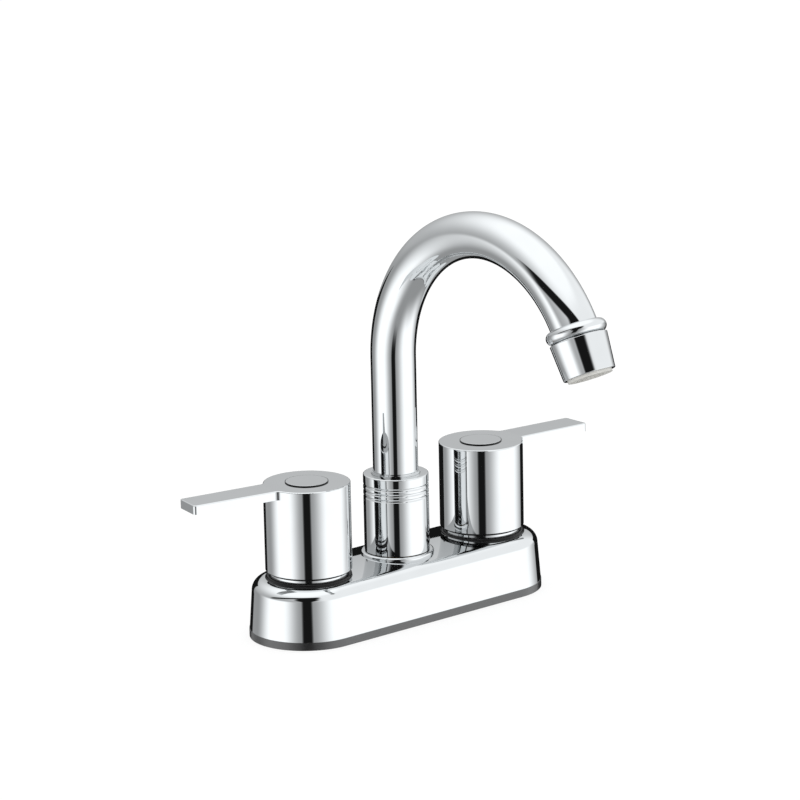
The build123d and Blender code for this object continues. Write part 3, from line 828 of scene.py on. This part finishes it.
def cover_outline(inset):
    """Half outline of the cover, or of a surface inset from it: distance from the middle line and
    height, from the middle of the crown over the rounded edge to the foot."""
    crown_steps, edge_steps = 40, 20
    lean, upright = math.sin(cover_draft), math.cos(cover_draft)
    rounding, crown = cover_edge - inset, crown_radius - inset
    crown_middle = cover_crown_top - crown_radius
    side = upright * cover_foot_radius + lean * cover_foot - inset
    # The middle of the edge's round touches both crown and side: each try brings it nearer
    edge_x = 0.0
    for _ in range(20):
        edge_z = crown_middle + math.sqrt((crown - rounding) ** 2 - edge_x ** 2)
        edge_x = (side - rounding - lean * edge_z) / upright
    first = math.atan2(edge_z - crown_middle, edge_x)
    crown_end = crown * math.cos(first)
    outline = []
    for step in range(crown_steps):
        distance = crown_end * step / crown_steps
        outline.append((distance, crown_middle + math.sqrt(crown ** 2 - distance ** 2)))
    for step in range(edge_steps + 1):
        turn = first + (cover_draft - first) * step / edge_steps
        outline.append((edge_x + rounding * math.cos(turn), edge_z + rounding * math.sin(turn)))
    outline.append(((side - lean * cover_foot) / upright, cover_foot))
    return outline


def crowned_cover(chrome):
    """The chromed shell over the waterway: its outline led round the oblong, with holes for the
    valves and the spout, and a raised rim round the middle hole."""
    outline = cover_outline(0.0) + cover_outline(cover_wall)[::-1]
    count = len(outline)
    end_steps = 64
    stations = [(end, math.radians(start + 180 * step / end_steps))
                for end, start in ((cover_end, -90), (-cover_end, 90))
                for step in range(end_steps + 1)]
    points = [((end + distance * math.cos(turn)) * MM, distance * math.sin(turn) * MM, height * MM)
              for end, turn in stations for distance, height in outline]
    faces = []
    for station in range(len(stations)):
        here, there = station * count, (station + 1) % len(stations) * count
        faces += [(here + row, there + row, there + row + 1, here + row + 1)
                  for row in range(count - 1)]
    mesh = bpy.data.meshes.new("crowned_cover")
    mesh.from_pydata(points, [], faces)
    close_up(mesh)

    drilled = bmesh.new()
    drill_length = 20.0
    for across, radius in ((-valve_x, valve_hole), (0.0, hub_hole), (valve_x, valve_hole)):
        spot = Matrix.Translation((across, 0.0, cover_crown_top * MM))
        bmesh.ops.create_cone(drilled, cap_ends=True, segments=128, radius1=radius * MM,
                              radius2=radius * MM, depth=drill_length * MM, matrix=spot)
    drill_mesh = bpy.data.meshes.new("cover_drill")
    drilled.to_mesh(drill_mesh)
    drilled.free()
    drill = place_in_scene("cover_drill", drill_mesh)
    cover = place_in_scene("crowned_cover", mesh)
    holes = cover.modifiers.new("holes", "BOOLEAN")
    holes.operation = "DIFFERENCE"
    holes.solver = "EXACT"
    holes.object = drill
    made = mesh_of(cover)
    cover.modifiers.clear()
    cover.data = made
    bpy.data.objects.remove(drill)
    made.materials.clear()
    coat(made, chrome, shell_crease)
    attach(cover, "base")
    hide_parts("base_cover")

    rim_radius, rim_foot, rim_top, rounding = 16.45, 25.4, 28.0, 0.9
    rim = [(hub_hole, rim_foot), (rim_radius, rim_foot)]
    rim += rounded_rim(rim_radius, rim_top, rounding)
    rim.append((hub_hole, rim_top))
    spout_rim = turned("spout_rim", rim, 0.0, chrome)
    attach(spout_rim, "base")


def strip(tree, angle, middle, half, edge):
    """How much of a strip across the tent is at an angle: all within half of its middle, none past
    its soft edge."""
    offset = add_node(tree, "ShaderNodeMath", {0: angle, 1: middle}, operation="SUBTRACT")
    away = add_node(tree, "ShaderNodeMath", {0: offset.outputs[0]}, operation="ABSOLUTE")
    return add_node(tree, "ShaderNodeMapRange", {
        "Value": away.outputs[0],
        "From Min": half,
        "From Max": half + edge,
        "To Min": 1.0,
        "To Max": 0.0,
    }, interpolation_type="SMOOTHSTEP").outputs["Result"]


def hang(tree, behind, shade, *strips):
    """Hang a panel of one shade in the tent, where all its strips cross, over what is behind it."""
    reach = strips[0]
    for crossing in strips[1:]:
        reach = add_node(tree, "ShaderNodeMath", {
            0: reach,
            1: crossing,
        }, operation="MULTIPLY").outputs[0]
    hung = add_node(tree, "ShaderNodeMix", {"Factor": reach, "A": behind, "B": shade})
    return hung.outputs["Result"]


def light_tent():
    """Soft white light for the eye. Metal sees the tent instead: two bright windows, a dark slit
    for the camera, and a dark bar overhead in front. Angles are in degrees from the camera."""
    world = bpy.data.worlds.new("light_tent")
    bpy.context.scene.world = world
    world.use_nodes = True
    world.cycles.sampling_method = "NONE"
    tree = world.node_tree
    tree.nodes.clear()

    direction = add_node(tree, "ShaderNodeTexCoord").outputs["Generated"]
    facing = add_node(tree, "ShaderNodeVectorRotate", {
        "Vector": direction,
        "Angle": -camera_azimuth,
    }, rotation_type="Z_AXIS")
    axes = add_node(tree, "ShaderNodeSeparateXYZ", {"Vector": facing.outputs["Vector"]}).outputs
    near = add_node(tree, "ShaderNodeMath", {0: axes["Y"], 1: -1.0}, operation="MULTIPLY")
    swing = add_node(tree, "ShaderNodeMath", {
        0: axes["X"],
        1: near.outputs[0],
    }, operation="ARCTAN2")
    around = add_node(tree, "ShaderNodeMath", {0: swing.outputs[0]}, operation="DEGREES").outputs[0]
    rise = add_node(tree, "ShaderNodeMath", {0: axes["Z"]}, operation="ARCSINE")
    height = add_node(tree, "ShaderNodeMath", {0: rise.outputs[0]}, operation="DEGREES").outputs[0]

    window_reach = strip(tree, height, middle=90.0, half=125.0, edge=37.0)
    left_window = strip(tree, around, middle=-64.0, half=14.0, edge=42.0)
    right_window = strip(tree, around, middle=76.0, half=20.0, edge=50.0)
    low = hang(tree, room_shade, window_shade, left_window, window_reach)
    low = hang(tree, low, window_shade, right_window, window_reach)
    high = add_node(tree, "ShaderNodeMapRange", {
        "Value": height,
        "From Min": 0.0,
        "From Max": 62.0,
        "To Min": 0.64,
        "To Max": 1.0,
    }, interpolation_type="SMOOTHSTEP").outputs["Result"]
    panel = strip(tree, around, middle=85.0, half=45.0, edge=30.0)
    panel_reach = strip(tree, height, middle=15.0, half=25.0, edge=20.0)
    high = hang(tree, high, panel_shade, panel, panel_reach)
    wall = hang(tree, low, high, strip(tree, height, middle=90.0, half=82.0, edge=12.0))
    # The slit widens upwards, to the shoulders of whoever stands behind the camera
    widening = add_node(tree, "ShaderNodeMapRange", {
        "Value": height,
        "From Min": 4.0,
        "From Max": 14.0,
        "To Min": 1.0,
        "To Max": 2.4,
    })
    narrowed = add_node(tree, "ShaderNodeMath", {
        0: around,
        1: widening.outputs["Result"],
    }, operation="DIVIDE")
    slit = strip(tree, narrowed.outputs[0], middle=0.0, half=6.5, edge=6.0)
    slit_top = strip(tree, height, middle=-3.0, half=37.0, edge=6.0)
    slit_foot = strip(tree, height, middle=90.0, half=108.0, edge=24.0)
    wall = hang(tree, wall, slit_shade, slit, slit_top, slit_foot)
    # The bar droops to its left: 37 degrees up in front, 14 at its left end
    squared = add_node(tree, "ShaderNodeMath", {0: around, 1: 2.0}, operation="POWER")
    droop_rate = 0.0043
    droop = add_node(tree, "ShaderNodeMath", {
        0: squared.outputs[0],
        1: droop_rate,
    }, operation="MULTIPLY")
    level = add_node(tree, "ShaderNodeMath", {
        0: height,
        1: droop.outputs[0],
    }, operation="ADD").outputs[0]
    bar = strip(tree, level, middle=37.0, half=4.5, edge=2.5)
    bar_reach = strip(tree, around, middle=-25.0, half=45.0, edge=14.0)
    wall = hang(tree, wall, slit_shade, bar, bar_reach)

    # The lamps are a little cool: less red and more blue
    red_share, blue_share = 0.985, 1.01
    tone = add_node(tree, "ShaderNodeMath", {0: wall, 1: eye_power}, operation="POWER")
    light = add_node(tree, "ShaderNodeMath", {
        0: tone.outputs[0],
        1: tent_brightness,
    }, operation="MULTIPLY")
    red = add_node(tree, "ShaderNodeMath", {
        0: light.outputs[0],
        1: red_share,
    }, operation="MULTIPLY")
    blue = add_node(tree, "ShaderNodeMath", {
        0: light.outputs[0],
        1: blue_share,
    }, operation="MULTIPLY")
    colour = add_node(tree, "ShaderNodeCombineColor", {
        "Red": red.outputs[0],
        "Green": light.outputs[0],
        "Blue": blue.outputs[0],
    })
    tent = add_node(tree, "ShaderNodeBackground", {"Color": colour.outputs["Color"]})
    plain = add_node(tree, "ShaderNodeBackground", {"Color": white})
    path = add_node(tree, "ShaderNodeLightPath")
    seen = add_node(tree, "ShaderNodeMixShader", {
        0: path.outputs["Is Glossy Ray"],
        1: plain.outputs[0],
        2: tent.outputs[0],
    })
    add_node(tree, "ShaderNodeOutputWorld", {"Surface": seen.outputs[0]})


def deck():
    """White paper at the height of the deck. It hides what is under it, and is clear from below."""
    half = 3.0
    height = -0.2 * MM
    outline = ((-half, -half), (half, -half), (half, half), (-half, half))
    mesh = bpy.data.meshes.new("deck")
    mesh.from_pydata([(x, y, height) for x, y in outline], [], [(0, 1, 2, 3)])
    floor = place_in_scene("deck", mesh)
    floor.visible_glossy = False
    material = bpy.data.materials.new("white_paper_sweep")
    material.use_nodes = True
    tree = material.node_tree
    tree.nodes.clear()
    paper = add_node(tree, "ShaderNodeBsdfDiffuse", {"Color": linear("#E7E7E7")})
    # To the camera alone the paper burns out to white, and only the object's shadow is left on it
    glow_share, extra_glow = 0.72, 0.1
    glow = add_node(tree, "ShaderNodeEmission", {"Color": white, "Strength": 1.0})
    burnt = add_node(tree, "ShaderNodeMixShader", {
        0: glow_share,
        1: paper.outputs[0],
        2: glow.outputs[0],
    })
    added = add_node(tree, "ShaderNodeEmission", {"Color": white, "Strength": extra_glow})
    bright = add_node(tree, "ShaderNodeAddShader", {0: burnt.outputs[0], 1: added.outputs[0]})
    path = add_node(tree, "ShaderNodeLightPath")
    sweep = add_node(tree, "ShaderNodeMixShader", {
        0: path.outputs["Is Camera Ray"],
        1: paper.outputs[0],
        2: bright.outputs[0],
    })
    clear = add_node(tree, "ShaderNodeBsdfTransparent")
    side = add_node(tree, "ShaderNodeNewGeometry").outputs["Backfacing"]
    shown = add_node(tree, "ShaderNodeMixShader", {
        0: side,
        1: sweep.outputs[0],
        2: clear.outputs[0],
    })
    add_node(tree, "ShaderNodeOutputMaterial", {"Surface": shown.outputs[0]})
    mesh.materials.append(material)


def black_card():
    """Low black card behind the tap, for its metal alone, higher at its left. It draws the dark
    outlines of the lower pieces."""
    across = Vector((math.cos(camera_azimuth), math.sin(camera_azimuth), 0.0))
    middle = Vector((-math.sin(camera_azimuth), math.cos(camera_azimuth), 0.0)) * card_distance
    upward = Vector((0.0, 0.0, 1.0))
    # Its corners as the camera sees them, sideways and up, in metres
    edge = ((-card_half, card_foot), (card_half, card_foot), (card_half, card_top), (0.0, card_top),
            (-0.1, 0.1), (-card_half, 0.17))
    mesh = bpy.data.meshes.new("black_card")
    mesh.from_pydata([middle + across * sideways + upward * height for sideways, height in edge],
                     [], [tuple(range(len(edge)))])
    card = place_in_scene("black_card", mesh)
    card.visible_camera = False
    card.visible_diffuse = False
    card.visible_shadow = False
    card.visible_transmission = False
    material = bpy.data.materials.new("black_card")
    material.use_nodes = True
    tree = material.node_tree
    tree.nodes.clear()
    dull = add_node(tree, "ShaderNodeEmission", {
        "Color": white,
        "Strength": card_shade ** eye_power,
    })
    add_node(tree, "ShaderNodeOutputMaterial", {"Surface": dull.outputs[0]})
    mesh.materials.append(material)


def photograph_camera():
    """Camera at the photograph's angle, with its small roll."""
    back = Vector((
        math.sin(camera_azimuth) * math.cos(camera_elevation),
        -math.cos(camera_azimuth) * math.cos(camera_elevation),
        math.sin(camera_elevation),
    ))
    right = Vector((math.cos(camera_azimuth), math.sin(camera_azimuth), 0))
    up = back.cross(right)
    camera = place_in_scene("camera", bpy.data.cameras.new("camera"))
    camera.data.lens = camera_lens
    camera.data.sensor_width = 36.0
    camera.data.clip_start = 0.05
    camera.data.clip_end = 20.0
    across, rise = camera_aim
    rolled_right = right * math.cos(camera_roll) + up * math.sin(camera_roll)
    rolled_up = up * math.cos(camera_roll) - right * math.sin(camera_roll)
    place = right * across + up * rise + back * camera_distance
    turn = Matrix((rolled_right, rolled_up, back)).transposed()
    camera.matrix_world = Matrix.LocRotScale(place, turn.to_quaternion(), None)
    bpy.context.scene.camera = camera


photograph_camera()
light_tent()
deck()
black_card()

finish_of_slot = {
    "chrome": polished_chrome_plate(),
    "brass": turned_brass(),
    "rubber": black_rubber("shiny_black_rubber", "#1B1B1C", "#2A2A2B", 1.0),
    "white_plastic": moulded_white_plastic(),
    "steel": stainless_steel(),
    "ceramic": lapped_alumina(),
}
for part in frame["record"]["subparts"]:
    nodes[part["node"]].data.materials.clear()
    nodes[part["node"]].data.materials.append(finish_of_slot[part["material_slot"]])
nodes["waterway_body"].data.materials[0] = cast_brass()

spout(finish_of_slot["chrome"])
threaded_shanks(finish_of_slot["brass"])
# Dull black rubber for the handle boots, and also for the black rings that are painted shade in the
# gaps under the skirts and round the caps
dull_rubber_and_gap_shade = black_rubber("dull_black_rubber_and_gap_shade", "#0C0C0D", "#171718", 0.0)
handle_boots_and_skirt_shade(dull_rubber_and_gap_shade)
crowned_cover(finish_of_slot["chrome"])
collar(finish_of_slot["chrome"])
index_buttons(finish_of_slot["chrome"], dull_rubber_and_gap_shade)
lever_roots(finish_of_slot["chrome"])

bpy.context.scene.view_settings.view_transform = "Standard"
